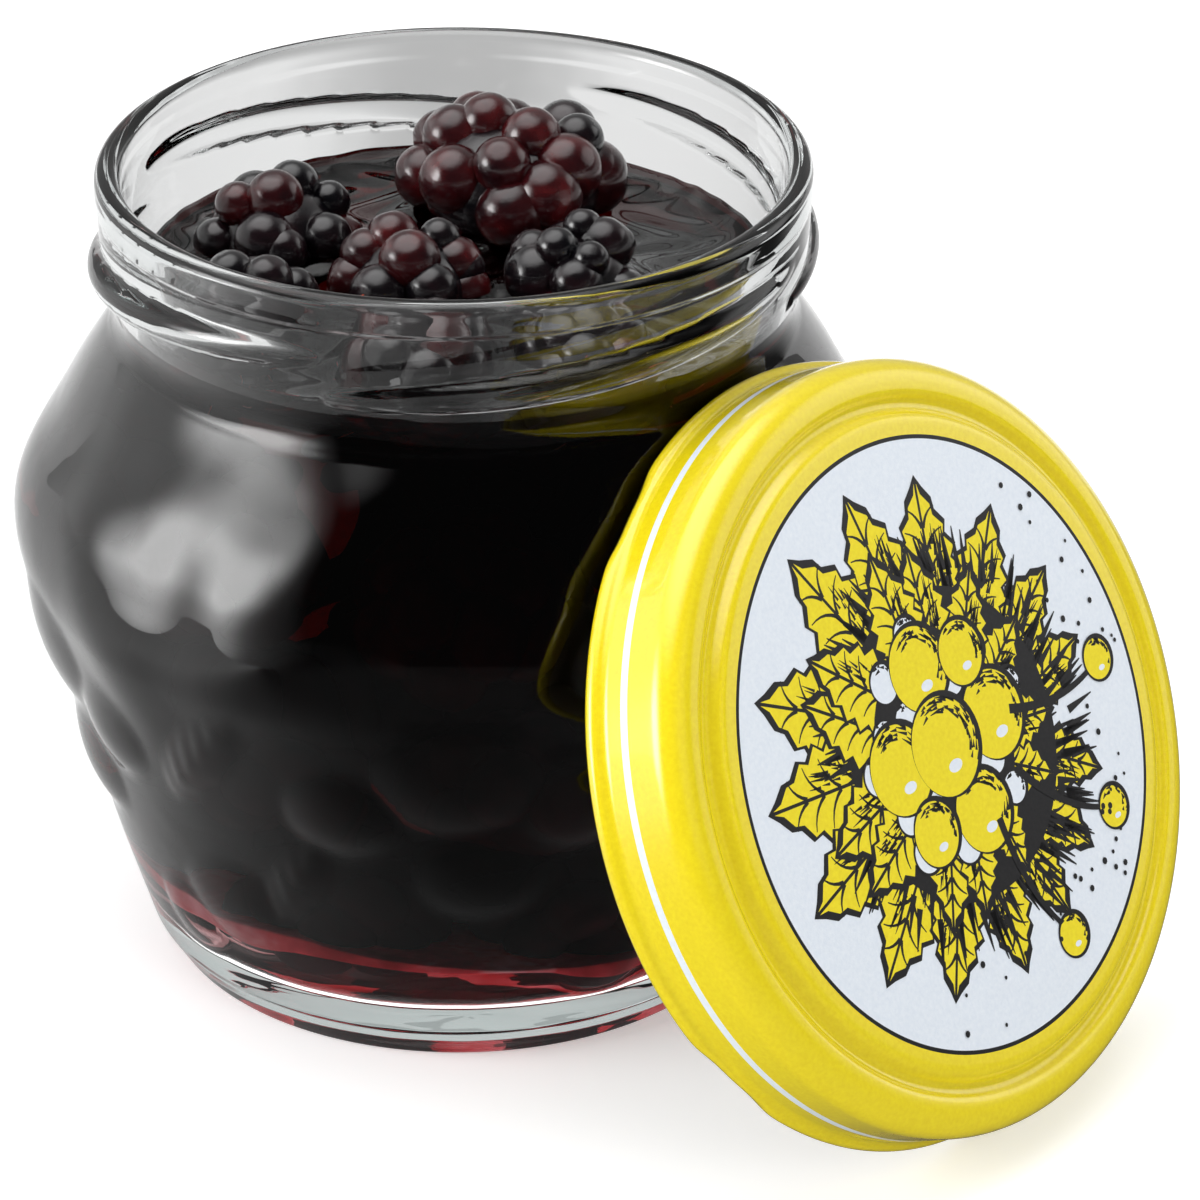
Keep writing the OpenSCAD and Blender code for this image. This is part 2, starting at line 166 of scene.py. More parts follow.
def lathe(name, line, count, mats, move=None, pick=None, closed=False):
    """Turns the line (r, z) round the Z axis. move(angle, r, z, normal) gives new points."""
    line = np.asarray(line, float)
    n = len(line)
    ang = np.linspace(0, 2 * np.pi, count, endpoint=False)
    r = np.repeat(line[:, 0][:, None], count, 1)
    z = np.repeat(line[:, 1][:, None], count, 1)
    a = np.repeat(ang[None], n, 0)
    d = np.gradient(line, axis=0)
    nor = np.stack([d[:, 1], -d[:, 0]], -1)
    nor /= np.maximum(np.linalg.norm(nor, axis=1)[:, None], 1e-9)
    if move is not None:
        r, z = move(a, r, z, nor)
    verts = np.stack([r * np.cos(a), r * np.sin(a), z], -1).reshape(-1, 3)
    faces, index = [], []
    rows = n if closed else n - 1
    for i in range(rows):
        j = (i + 1) % n
        k = pick((line[i] + line[j]) / 2, i) if pick else 0
        b0, b1 = i * count, j * count
        for m in range(count):
            m1 = (m + 1) % count
            if line[i, 0] < 1e-6:
                faces.append((b0, b1 + m1, b1 + m))
            elif line[j, 0] < 1e-6:
                faces.append((b0 + m, b0 + m1, b1))
            else:
                faces.append((b0 + m, b0 + m1, b1 + m1, b1 + m))
            index.append(k)
    # Points on the axis are one point each
    keep = np.ones(len(verts), bool)
    alias = np.arange(len(verts))
    for i in range(n):
        if line[i, 0] < 1e-6:
            keep[i * count + 1:(i + 1) * count] = False
            alias[i * count:(i + 1) * count] = i * count
    new = np.cumsum(keep) - 1
    faces = [tuple(int(new[alias[v]]) for v in f) for f in faces]
    return mesh(name, verts[keep], faces, mats, index)


def join(name, parts, mats, smooth=True):
    """One mesh of (verts, faces, material number) lists."""
    verts, faces, index, base = [], [], [], 0
    for v, f, k in parts:
        verts.append(np.asarray(v, float))
        faces += [tuple(base + i for i in q) for q in f]
        index += [k] * len(f)
        base += len(v)
    return mesh(name, np.concatenate(verts), faces, mats, index, smooth)


# Materials
def material(name):
    """A material with an empty tree, and the tree."""
    m = bpy.data.materials.new(name)
    m.use_nodes = True
    tree = m.node_tree
    for n in list(tree.nodes):
        tree.nodes.remove(n)
    return m, tree


def node(tree, kind, inputs=None, **attrs):
    n = tree.nodes.new(kind)
    for k, v in attrs.items():
        setattr(n, k, v)
    for k, v in (inputs or {}).items():
        n.inputs[k].default_value = v
    return n


def ramp(tree, fac, stops):
    """Turns a value into a colour by stops of place and colour."""
    n = tree.nodes.new("ShaderNodeValToRGB")
    while len(n.color_ramp.elements) < len(stops):
        n.color_ramp.elements.new(0.5)
    for e, (p, c) in zip(n.color_ramp.elements, stops):
        e.position = p
        e.color = (*c, 1)
    tree.links.new(fac, n.inputs[0])
    return n.outputs[0]


def noise(tree, scale, detail, rough=0.5, distort=0.0):
    """Noise over the object's own place. scale counts features in a metre."""
    co = node(tree, "ShaderNodeTexCoord")
    n = node(tree, "ShaderNodeTexNoise", {
        "Scale": scale, "Detail": detail, "Roughness": rough, "Distortion": distort})
    tree.links.new(co.outputs["Object"], n.inputs["Vector"])
    return n.outputs["Fac"]


def calc(tree, kind, a, b):
    """A math node. Each side is a number or another node's output."""
    n = node(tree, "ShaderNodeMath", operation=kind)
    for i, v in enumerate((a, b)):
        if isinstance(v, (int, float)):
            n.inputs[i].default_value = v
        else:
            tree.links.new(v, n.inputs[i])
    return n.outputs[0]


def step(tree, value, low, high, dark, bright, kind="SMOOTHSTEP"):
    """Turns low to high of a value into dark to bright."""
    n = node(tree, "ShaderNodeMapRange", {
        "From Min": low, "From Max": high, "To Min": dark, "To Max": bright}, interpolation_type=kind)
    tree.links.new(value, n.inputs["Value"])
    return n.outputs["Result"]


def along(tree, vector, way):
    """How far a vector reaches along a fixed one."""
    n = node(tree, "ShaderNodeVectorMath", operation="DOT_PRODUCT")
    tree.links.new(vector, n.inputs[0])
    n.inputs[1].default_value = way
    return n.outputs["Value"]


def finish_tree(tree, shader, volume=None):
    """Ends a material with its surface, and its volume if it has one."""
    o = node(tree, "ShaderNodeOutputMaterial")
    tree.links.new(shader.outputs[0], o.inputs["Surface"])
    if volume:
        tree.links.new(volume.outputs[0], o.inputs["Volume"])


def bump(tree, height, distance, strength):
    """Normals of an uneven surface. distance is in metres."""
    b = node(tree, "ShaderNodeBump", {"Strength": strength, "Distance": distance})
    tree.links.new(height, b.inputs["Height"])
    return b.outputs["Normal"]


def clear_shader(tree, index, bump_scale, bump_dist, strength):
    """A smooth refracting surface with slow waves."""
    p = node(tree, "ShaderNodeBsdfPrincipled", {
        "Base Color": (1.0, 1.0, 1.0, 1), "Roughness": 0.0, "IOR": index, "Transmission Weight": 1.0})
    tree.links.new(bump(tree, noise(tree, bump_scale, 2.0), bump_dist, strength), p.inputs["Normal"])
    return p


def glass_material(name, index):
    """Clear glass. Its index is taken against what lies on its far side: air, or the syrup on wet glass."""
    m, t = material(name)
    v = node(t, "ShaderNodeVolumeAbsorption", {"Color": (0.80, 0.88, 0.87, 1), "Density": 28.0})
    finish_tree(t, clear_shader(t, index, 90, 0.0004, 0.35), v)
    return m


def syrup_material(name, open_top):
    """Dark syrup. Its free surface refracts; where it wets the glass, the glass has the index for both."""
    m, t = material(name)
    if open_top:
        p = clear_shader(t, SYRUP_INDEX, 60, 0.0005, 0.3)
    else:
        p = node(t, "ShaderNodeBsdfTransparent")
    v = node(t, "ShaderNodeVolumeAbsorption", {"Color": (0.84, 0.13, 0.17, 1)})
    # Density grows with height: the thin syrup near the bottom is painted light, so the bottom looks lit
    at = node(t, "ShaderNodeNewGeometry")
    split = node(t, "ShaderNodeSeparateXYZ")
    t.links.new(at.outputs["Position"], split.inputs[0])
    t.links.new(step(t, split.outputs["Z"], *SYRUP_DENSITY, "LINEAR"), v.inputs["Density"])
    finish_tree(t, p, v)
    return m


def berry_material(name, dark, mid, light):
    """A glossy wet skin that drifts between three colours."""
    m, t = material(name)
    p = node(t, "ShaderNodeBsdfPrincipled", {
        "Roughness": 0.22, "IOR": 1.42, "Coat Weight": 0.6, "Coat Roughness": 0.04})
    col = ramp(t, noise(t, 260, 3.0, 0.55, 0.4), [(0.30, dark), (0.52, mid), (0.72, light)])
    t.links.new(col, p.inputs["Base Color"])
    t.links.new(bump(t, noise(t, 1500, 4.0, 0.6), 0.00008, 0.5), p.inputs["Normal"])
    finish_tree(t, p)
    return m


def plain_material(name, stops, scale, rough, bump_scale=0, bump_dist=0.0, **more):
    """A painted or moulded surface whose colour drifts over noise."""
    m, t = material(name)
    p = node(t, "ShaderNodeBsdfPrincipled", {"Roughness": rough, **more})
    t.links.new(ramp(t, noise(t, scale, 4.0), stops), p.inputs["Base Color"])
    if bump_scale:
        t.links.new(bump(t, noise(t, bump_scale, 3.0), bump_dist, 0.6), p.inputs["Normal"])
    finish_tree(t, p)
    return m


GLASS_INDEX, SYRUP_INDEX = 1.5, 1.38
# Heights in metres between which the syrup's density grows, and its least and greatest density. The thin
# syrup low down is painted light: it makes the bottom look lit from below.
SYRUP_DENSITY = (0.009, 0.020, 42.0, 310.0)
MATT = {"Specular IOR Level": 0.0}
GLASS = glass_material("clear_glass", GLASS_INDEX)
WET_GLASS = glass_material("wet_glass", GLASS_INDEX / SYRUP_INDEX)
SYRUP = syrup_material("dark_syrup", True)
SYRUP_SIDE = syrup_material("dark_syrup_side", False)
DARK_FRUIT = berry_material("dark_fruit", (0.002, 0.002, 0.003), (0.005, 0.003, 0.004), (0.014, 0.004, 0.006))
RED_FRUIT = berry_material("red_fruit", (0.010, 0.002, 0.003), (0.030, 0.003, 0.004), (0.070, 0.006, 0.007))
SUNK_DARK = plain_material(
    "sunk_dark_fruit", [(0.3, (0.010, 0.002, 0.003)), (0.7, (0.030, 0.004, 0.006))],
    scale=260, rough=0.7, bump_scale=600, bump_dist=0.00002, **MATT)
SUNK_RED = plain_material(
    "sunk_red_fruit", [(0.3, (0.009, 0.002, 0.003)), (0.7, (0.022, 0.003, 0.004))],
    scale=260, rough=0.7, bump_scale=600, bump_dist=0.00002, **MATT)
# Painted glow: pink-red, with near-white spots, standing in for light shining through the syrup near the
# bottom
SYRUP_GLOW_PAINT = plain_material(
    "painted_syrup_glow", [(0.35, (0.34, 0.012, 0.018)), (0.5, (0.66, 0.045, 0.06)), (0.68, (0.92, 0.38, 0.42))],
    scale=130, rough=0.6, **MATT)
HAIR = plain_material(
    "style_hair", [(0.3, (0.25, 0.02, 0.01)), (0.7, (0.50, 0.07, 0.02))], scale=900, rough=0.5)
YELLOW = plain_material(
    "yellow_enamel", [(0.25, (0.80, 0.62, 0.006)), (0.75, (0.88, 0.72, 0.010))],
    scale=2600, rough=0.24, bump_scale=7000, bump_dist=0.00002,
    **{"Coat Weight": 1.0, "Coat Roughness": 0.05})
WHITE = plain_material(
    "white_enamel", [(0.25, (0.72, 0.78, 0.86)), (0.75, (0.80, 0.85, 0.91))],
    scale=2600, rough=0.3, bump_scale=7000, bump_dist=0.00002,
    **{"Coat Weight": 0.4, "Coat Roughness": 0.12})
INK = plain_material(
    "black_ink", [(0.25, (0.004, 0.004, 0.005)), (0.75, (0.012, 0.011, 0.012))], scale=3000, rough=0.34)
PRINT_YELLOW = plain_material(
    "yellow_ink", [(0.25, (0.80, 0.64, 0.008)), (0.75, (0.88, 0.74, 0.014))], scale=2600, rough=0.32)
LACQUER = plain_material(
    "inner_lacquer", [(0.3, (0.62, 0.55, 0.36)), (0.7, (0.70, 0.63, 0.42))],
    scale=900, rough=0.28, bump_scale=2500, bump_dist=0.00003, **{"Metallic": 0.35})
COMPOUND = plain_material(
    "sealing_compound", [(0.3, (0.70, 0.69, 0.63)), (0.7, (0.80, 0.79, 0.73))],
    scale=700, rough=0.55, bump_scale=1400, bump_dist=0.0001)


# Jar
def turned(a, start):
    """The angle from start to a, between minus half a turn and half a turn."""
    return np.mod(a - start + np.pi, 2 * np.pi) - np.pi


def between(z, low, rise, high, fall):
    """1 between two heights, and a ramp to 0 beyond them."""
    return np.clip((z - low) / rise, 0, 1) * np.clip((high - z) / fall, 0, 1)


def meet(a, da, b, db):
    """Where two lines cross, each given by a point and a direction."""
    m = np.array([[da[0], -db[0]], [da[1], -db[1]]])
    s = np.linalg.solve(m, np.array(b) - np.array(a))
    return np.array(a) + np.array(da) * s[0]


def tangent(x, z, side):
    """Angle on the belly's circle where a line from a point touches it."""
    dx, dz = x - (BELLY_R - BELLY_ROUND), z - BELLY_Z
    return math.atan2(dz, dx) + side * math.acos(BELLY_ROUND / math.hypot(dx, dz))


LOW_A, HIGH_A = tangent(HEEL_R, HEEL_Z, 1), tangent(NECK_R, SHOULDER_Z, -1)
LOW_D, HIGH_D = (-math.sin(LOW_A), math.cos(LOW_A)), (-math.sin(HIGH_A), math.cos(HIGH_A))


def shifted(x, z, angle, skin):
    """A point moved along an angle by a thickness."""
    return (x + skin * math.cos(angle), z + skin * math.sin(angle))


def inner_corners(gap):
    """Corners of the jar's inside, drawn in by a gap: bottom's edge, belly and lower end of the bore."""
    low = shifted(HEEL_R, HEEL_Z, LOW_A, -WALL - gap)
    high = shifted(NECK_R, SHOULDER_Z, HIGH_A, -WALL - gap)
    edge = meet(low, LOW_D, (0, BOTTOM + gap), (1, 0))
    belly = meet(low, LOW_D, high, HIGH_D)
    bore = meet(high, HIGH_D, (BORE_R - gap, 0), (0, 1))
    return edge, belly, bore


def inner_line(gap, top):
    """Inside of the jar from the bottom's middle up to the bore at height top."""
    pts = [(0, BOTTOM + gap), *inner_corners(gap), (BORE_R - gap, top)]
    return rounded(pts, [0, INNER_CORNER - gap, BELLY_ROUND - WALL - gap, BORE_ROUND, 0], 0.8)


def smooth_noise(a, z, seed, waves=26, low=2, high=9, tall=(8.0, 30.0)):
    """A seeded sum of waves, about -1 to 1. low and high are waves a turn, tall is a wave's height."""
    g = np.random.default_rng(seed)
    out = np.zeros_like(a)
    for _ in range(waves):
        k = g.integers(low, high)
        w = 2 * np.pi / g.uniform(*tall)
        out += np.cos(k * a + g.uniform(0, 6.28) + w * z * g.choice([-1, 1]))
    return out / math.sqrt(waves)


def taper(z):
    """Outside radius of the tapered body, carried on beyond the belly."""
    return HEEL_R - (z - HEEL_Z) * math.tan(LOW_A)


def soft_max(a, b, width):
    """The greater of two, with their meeting line rounded over a width."""
    return 0.5 * (a + b + np.sqrt((a - b) ** 2 + width * width))


def leaf_height(dx, dz, tilt):
    """A leaf in relief: a sunk spindle with a midrib and side veins."""
    c, s = math.cos(tilt), math.sin(tilt)
    u, v = dz * c - dx * s, dx * c + dz * s
    bow = (LEAF_L ** 2 / LEAF_W + LEAF_W) / 4
    girth = np.sqrt(np.clip(bow ** 2 - u ** 2, 0, None)) + LEAF_W / 2 - bow
    round_off = dx ** 2 / (2 * LEAF_AT_R)
    top = RELIEF - LEAF_W / 2 + np.sqrt(np.clip(girth ** 2 - v ** 2, 0, None)) + round_off
    top = np.where(np.abs(v) < girth, top, -1.0)
    midrib = MIDRIB * np.exp(-(v / 0.5) ** 2)
    veins = VEIN * (0.5 + 0.5 * np.cos((u - np.abs(v) * 0.9) * 2 * np.pi / VEIN_STEP))
    return top + (midrib - veins) * np.clip(top / 0.3, 0, 1)


def relief(a, r, z):
    """Height of the moulded fruit and leaves over the plain glass."""
    out = np.full_like(a, -0.25)
    for i in range(GROUPS):
        for share, cz, ball in FRUITS:
            d = turned(a, math.radians(RELIEF_TURN + 360 / GROUPS * (i + share)))
            mid = taper(cz) + RELIEF / math.cos(LOW_A) - ball
            q = ball ** 2 - (z - cz) ** 2 - (mid * np.sin(d)) ** 2
            top = mid * np.cos(d) + np.sqrt(np.clip(q, 0, None)) - r
            top = np.where((q > 0) & (np.abs(d) < 1), top, -1.0)
            out = soft_max(out, np.clip(top, RELIEF_LOW, None), RELIEF_BLEND)
        for share, cz, tilt in LEAVES:
            dx = turned(a, math.radians(RELIEF_TURN + 360 / GROUPS * (i + share))) * LEAF_AT_R
            top = leaf_height(dx, z - cz, math.radians(tilt))
            out = soft_max(out, np.clip(top, RELIEF_LOW, None), RELIEF_BLEND)
    return RELIEF_SHOWN * np.clip(soft_max(out, np.zeros_like(out), RELIEF_EDGE) - 0.02, 0, None)


def swells(a, z):
    """Broad uneven places of the pressed glass on the belly, as its mirrored window shows them."""
    out = np.zeros_like(a)
    for turn, cz, wide, tall, tilt, high in SWELLS:
        du = turned(a, math.radians(turn)) * SWELL_AT_R
        c, s = math.cos(math.radians(tilt)), math.sin(math.radians(tilt))
        u, v = du * c + (z - cz) * s, (z - cz) * c - du * s
        out += high * np.exp(-0.5 * (u / wide) ** 2 - 0.5 * (v / tall) ** 2)
    return out


def thread_radius(a, z):
    """Outside radius of the thread lugs, 0 where there is none."""
    out = np.zeros_like(a)
    rho = THREAD_PATH - THREAD_OFF
    half = math.radians(THREAD_SPAN / 2)
    pitch = THREAD_RISE / 2 / THREAD_PATH / math.sin(half)
    for k in range(THREADS):
        t = turned(a, math.radians(THREAD_TURN + 360 / THREADS * k))
        path = THREAD_OFF * np.cos(t) + np.sqrt(rho ** 2 - (THREAD_OFF * np.sin(t)) ** 2)
        q = z - THREAD_Z - path * np.sin(t) * pitch
        ok = (np.abs(q) < THREAD_R) & (np.abs(t) < half)
        lug = path + np.sqrt(np.clip(THREAD_R ** 2 - q ** 2, 0, None))
        out = np.where(ok, np.maximum(out, lug), out)
    return out


BAND_Z = JAR_H - RIM_ROUND - RIM_BAND
# Radius of the lip's top, the mouth's depth, and the rounding of the shoulder's hollow
LIP_R, MOUTH_Z, SHOULDER_ROUND = RIM_R - 1.07, 70.9, 4.0


def jar_line():
    """The jar's section, outside then inside, and how many points the outside has."""
    low = meet((HEEL_R, HEEL_Z), LOW_D, (NECK_R, SHOULDER_Z), HIGH_D)
    outer = rounded(
        [(0, RECESS), (RECESS_R, RECESS), (FOOT_IN, 0), (FOOT_R, 0), (HEEL_R, HEEL_Z), low,
         (NECK_R, SHOULDER_Z), (FINISH_R, THREAD_Z), (FINISH_R, BAND_Z - RIM_STEP), (RIM_R, BAND_Z),
         (RIM_R, JAR_H), (LIP_R, JAR_H)],
        [0, 0.9, 0.7, 0.9, 2.2, BELLY_ROUND, SHOULDER_ROUND, 3.0, 0.5, 0.5, 1.06, 0], 0.4)
    edge, belly, bore = inner_corners(0)
    inner = rounded(
        [(LIP_R, JAR_H), (MOUTH_R, JAR_H), (MOUTH_R, MOUTH_Z), (BORE_R, SYRUP_Z), bore, belly, edge,
         (0, BOTTOM)],
        [0, 1.05, 4, 6, BORE_ROUND, BELLY_ROUND - WALL, INNER_CORNER, 0], 0.5)
    outer = dense(outer, lambda p: 1.0 if p[1] < 5 else (0.42 if p[1] < 58 else 0.3))
    inner = dense(inner, 0.9)
    return np.concatenate([outer, inner[1:]]), len(outer)


def make_jar():
    """The glass with its relief, waves, swells and thread. Below the syrup its inside is wet."""
    line, split = jar_line()

    def move(a, r, z, nor):
        out = np.zeros_like(r)
        outside = np.arange(len(line)) < split
        height = line[:, 1]
        fade = between(height, 4, 3, 50, 5) * outside
        out += relief(a, r, z) * fade[:, None]
        wavy = between(height, 4, 8, 60, 6)
        calm = 1 - 0.85 * np.exp(-((a - CALM_AT) / CALM_WIDTH) ** 2)
        out += 0.12 * smooth_noise(a, z, 3) * (wavy * outside)[:, None] * calm
        out += 0.16 * smooth_noise(a, z, 5) * (wavy * ~outside)[:, None]
        upper = between(height, 26, 10, 58, 8) * outside
        out += 0.2 * smooth_noise(a, z, 17, 16, 3, 8, (22, 44)) * upper[:, None] * calm
        out += swells(a, z) * outside[:, None]
        neck = ((height > 58) & outside)[:, None]
        out += 0.03 * smooth_noise(a, z, 8, 14, 2, 6, (6, 20)) * neck
        nr = r + out * nor[:, :1]
        nz = z + out * nor[:, 1:]
        lug = thread_radius(a, z)
        nr = np.where(neck & (lug > nr), lug, nr)
        return nr, nz

    def pick(p, i):
        return 1 if i >= split and p[1] < SYRUP_Z + 0.6 else 0

    return lathe("jar_glass_body", line, 540, [GLASS, WET_GLASS], move, pick)


# Syrup
def spot(key):
    """Middle and half sizes of a berry at the surface."""
    r, t, z, w, h = TOPS[key]
    t = math.radians(t)
    return np.array([r * math.cos(t), r * math.sin(t), z]), w / 2, h / 2


def surface_height(x, y):
    """Height of the syrup's surface: it climbs at the glass and at each berry, with slow ripples."""
    r = np.hypot(x, y)
    z = SYRUP_Z + CLIMB_WALL * np.exp(-(BORE_R + 0.1 - r) / 1.5)
    for key in TOPS:
        c, a, b = spot(key)
        at = a * math.sqrt(max(0.05, 1 - ((SYRUP_Z - c[2]) / b) ** 2))
        d = np.hypot(x - c[0], y - c[1]) - at + 0.6
        z = z + CLIMB_FRUIT * np.exp(-np.clip(d, 0, None))
    z = z + RIPPLE * np.sin(x * 0.9 + 2 * np.sin(y * 0.55)) * np.cos(y * 0.7 + np.sin(x * 0.4))
    return np.minimum(z, SYRUP_Z + CLIMB_MOST)


def make_syrup():
    """The jar's filling: a side that follows the glass, and a free surface."""
    wall = dense(inner_line(-0.06, SYRUP_Z + 1.4), 1.2)
    rings = np.linspace(wall[-1, 0], 0, 74)[1:]
    line = np.concatenate([wall, np.stack([rings, np.full(len(rings), SYRUP_Z)], -1)])
    n = len(wall)

    def move(a, r, z, nor):
        z = z.copy()
        z[n - 1:] = surface_height(r[n - 1:] * np.cos(a[n - 1:]), r[n - 1:] * np.sin(a[n - 1:]))
        return r, z

    def pick(p, i):
        return 1 if i < n - 1 else 0

    return lathe("syrup_body", line, 360, [SYRUP, SYRUP_SIDE], move, pick)


def make_painted_glow():
    """A ribbon of painted glow at the wall above the bottom, standing in for light through the syrup, with a
    height and a middle that wave.
    """
    ring = np.linspace(0, 2 * np.pi, 16, endpoint=False)
    line = np.stack([0.1 * np.cos(ring), np.sin(ring)], -1)

    def move(a, r, z, nor):
        tall = 0.75 + 0.35 * np.sin(2 * a + 0.7) + 0.25 * np.sin(5 * a) + 0.12 * np.sin(11 * a + 1)
        slope = 1.5 * np.cos(a - math.radians(175))
        mid = STREAK_Z + slope + 0.5 * np.sin(3 * a + 1) + 0.12 * np.sin(8 * a)
        z = mid + z * tall
        return taper(z) - WALL / math.cos(LOW_A) - STREAK_IN + r, z

    return lathe("painted_glow_ribbon", line, 300, [SYRUP_GLOW_PAINT], move, closed=True)


# Berries
def ball(nu, nv):
    """Unit drupelet pointing along +Z with a small dimple at its tip."""
    verts = [(0, 0, 1)]
    for j in range(1, nv):
        t = math.pi * j / nv
        for i in range(nu):
            f = 2 * math.pi * i / nu
            verts.append((math.sin(t) * math.cos(f), math.sin(t) * math.sin(f), math.cos(t)))
    verts.append((0, 0, -1))
    v = np.array(verts)
    faces = [(0, 1 + i, 1 + (i + 1) % nu) for i in range(nu)]
    for j in range(nv - 2):
        for i in range(nu):
            a, b = 1 + j * nu + i, 1 + j * nu + (i + 1) % nu
            faces.append((a, a + nu, b + nu, b))
    last, base = len(v) - 1, 1 + (nv - 2) * nu
    faces += [(base + i, last, base + (i + 1) % nu) for i in range(nu)]
    tip = np.arccos(np.clip(v[:, 2], -1, 1))
    v = v * (1 - DIMPLE * np.exp(-(tip / DIMPLE_WIDTH) ** 2))[:, None]
    return v, faces


BALL_FINE, BALL_COARSE = ball(22, 15), ball(14, 10)
HAIR_R = 0.085
# Greatest radius of a drupelet, and how near a filling one may lie to a marked one
BEAD_MOST, BEAD_APART = 3.4, 0.62
# Shares of a drupelet's radius: how far a marked one lies under the top, and the core under the beads
BEAD_SINK, CORE_INSET = 0.9, 0.75


def basis(n):
    """Columns of a frame whose third axis is n."""
    n = n / np.linalg.norm(n)
    u = np.cross(n, [0.3, 0.2, 0.93])
    u /= np.linalg.norm(u)
    return np.stack([u, np.cross(n, u), n], 1)


def hair(start, way, length, gen):
    """A thin bent style: a tube of few sides that narrows to its end."""
    steps, sides = 7, 5
    bend = gen.normal(size=3) * 0.55
    p, d = start.copy(), way / np.linalg.norm(way)
    verts = []
    for k in range(steps):
        m = basis(d)
        w = HAIR_R * (1 - 0.75 * k / (steps - 1))
        for s in range(sides):
            t = 2 * math.pi * s / sides
            verts.append(p + w * (m[:, 0] * math.cos(t) + m[:, 1] * math.sin(t)))
        p = p + d * length / (steps - 1)
        d = d + bend * 0.22
        d /= np.linalg.norm(d)
    faces = []
    for k in range(0, (steps - 1) * sides, sides):
        for s in range(sides):
            s1 = (s + 1) % sides
            faces.append((k + s, k + s1, k + sides + s1, k + sides + s))
    return np.array(verts), faces


def on_ray(px, py, c, a, b):
    """Where the photograph's ray through a pixel meets the ellipsoid, or passes nearest to it."""
    d = FWD + RIGHT * (px - PHOTO_X) / EYE_F + UP * (PHOTO_Y - py) / EYE_F
    s = np.array([a, a, b])
    o2, d2 = (EYE - c) / s, d / s
    k = -(o2 @ d2) / (d2 @ d2)
    near = o2 + k * d2
    q = near @ near
    if q < 1:
        k -= math.sqrt((1 - q) / (d2 @ d2))
        near = o2 + k * d2
    near = near / np.linalg.norm(near)
    return c + near * s


def berry(name, c, a, b, bead, count, turn, gen, red, marks=(), mats=(DARK_FRUIT, RED_FRUIT), hairs=0.2):
    """Drupelets over a flattened ball. Those in marks sit where the photograph shows them.

    red and hairs are the shares of drupelets that are red and that keep a style."""
    put = []
    for px, py, r, tint in marks:
        size = min(r / PHOTO_MM, BEAD_MOST)
        p = on_ray(px, py, c, a - size, b - size * BEAD_SINK)
        put.append((p, size, tint, True))
    for i in range(count):
        rise = 1 - 2 * (i + 0.5) / count
        reach = math.sqrt(1 - rise * rise)
        t = turn + i * GOLDEN
        out = (a - bead) * reach
        p = c + np.array([out * math.cos(t), out * math.sin(t), (b - bead) * rise])
        if all(np.linalg.norm(p - q[0]) > BEAD_APART * (bead + q[1]) for q in put if q[3]):
            put.append((p, bead, 1 if gen.random() < red else 0, False))
    shape, faces = BALL_FINE if hairs else BALL_COARSE
    parts = []
    for p, size, tint, marked in put:
        out = (p - c) / np.array([a, a, b]) ** 2
        m = basis(out)
        spin = gen.uniform(0, 6.28)
        cs, sn = math.cos(spin), math.sin(spin)
        stretch = gen.uniform(0.98, 1.05) if marked else gen.uniform(0.98, 1.1)
        v = shape * [stretch, 1.0, 1.0]
        v = np.stack([v[:, 0] * cs - v[:, 1] * sn, v[:, 0] * sn + v[:, 1] * cs, v[:, 2]], -1)
        parts.append((p + size * (v @ m.T), faces, tint))
        if gen.random() < hairs:
            lean = out / np.linalg.norm(out) + gen.normal(size=3) * 0.35
            hv, hf = hair(p + m[:, 2] * size * 0.93, lean, gen.uniform(1.0, 2.4), gen)
            parts.append((hv, hf, 2))
    inset = bead * CORE_INSET
    parts.append((BALL_COARSE[0] * [a - inset, a - inset, b - inset] + c, BALL_COARSE[1], 0))
    return join(name, parts, [*mats, HAIR])


# Drupelets read off the photograph: column, row, radius in pixels and 1 for a red one.
MARKS = {
    "large": [(565, 115, 32, 1), (600, 125, 38, 1), (640, 108, 34, 1), (690, 127, 35, 1), (745, 130, 30, 0),
              (535, 170, 37, 1), (598, 175, 40, 1), (665, 215, 41, 1), (707, 195, 42, 1), (730, 165, 42, 1),
              (785, 175, 46, 1), (655, 160, 34, 1)],
    "left": [(412, 172, 30, 0), (388, 195, 33, 1), (345, 202, 27, 1), (320, 245, 28, 0), (375, 245, 35, 0),
             (397, 258, 28, 0), (447, 243, 31, 0), (465, 188, 24, 0)],
    "front": [(522, 228, 30, 1), (487, 255, 30, 1), (545, 270, 35, 1), (478, 292, 30, 1), (585, 237, 24, 0),
              (610, 268, 32, 1), (645, 255, 30, 0), (570, 305, 31, 0), (632, 305, 31, 1)],
    "right": [(695, 290, 38, 0), (690, 262, 26, 0), (718, 258, 25, 0), (740, 300, 30, 0), (750, 225, 22, 0),
              (785, 240, 33, 0), (812, 225, 22, 0), (757, 272, 22, 0)],
    "left_front": [(335, 283, 27, 0), (420, 297, 27, 0), (378, 290, 28, 0)],
}


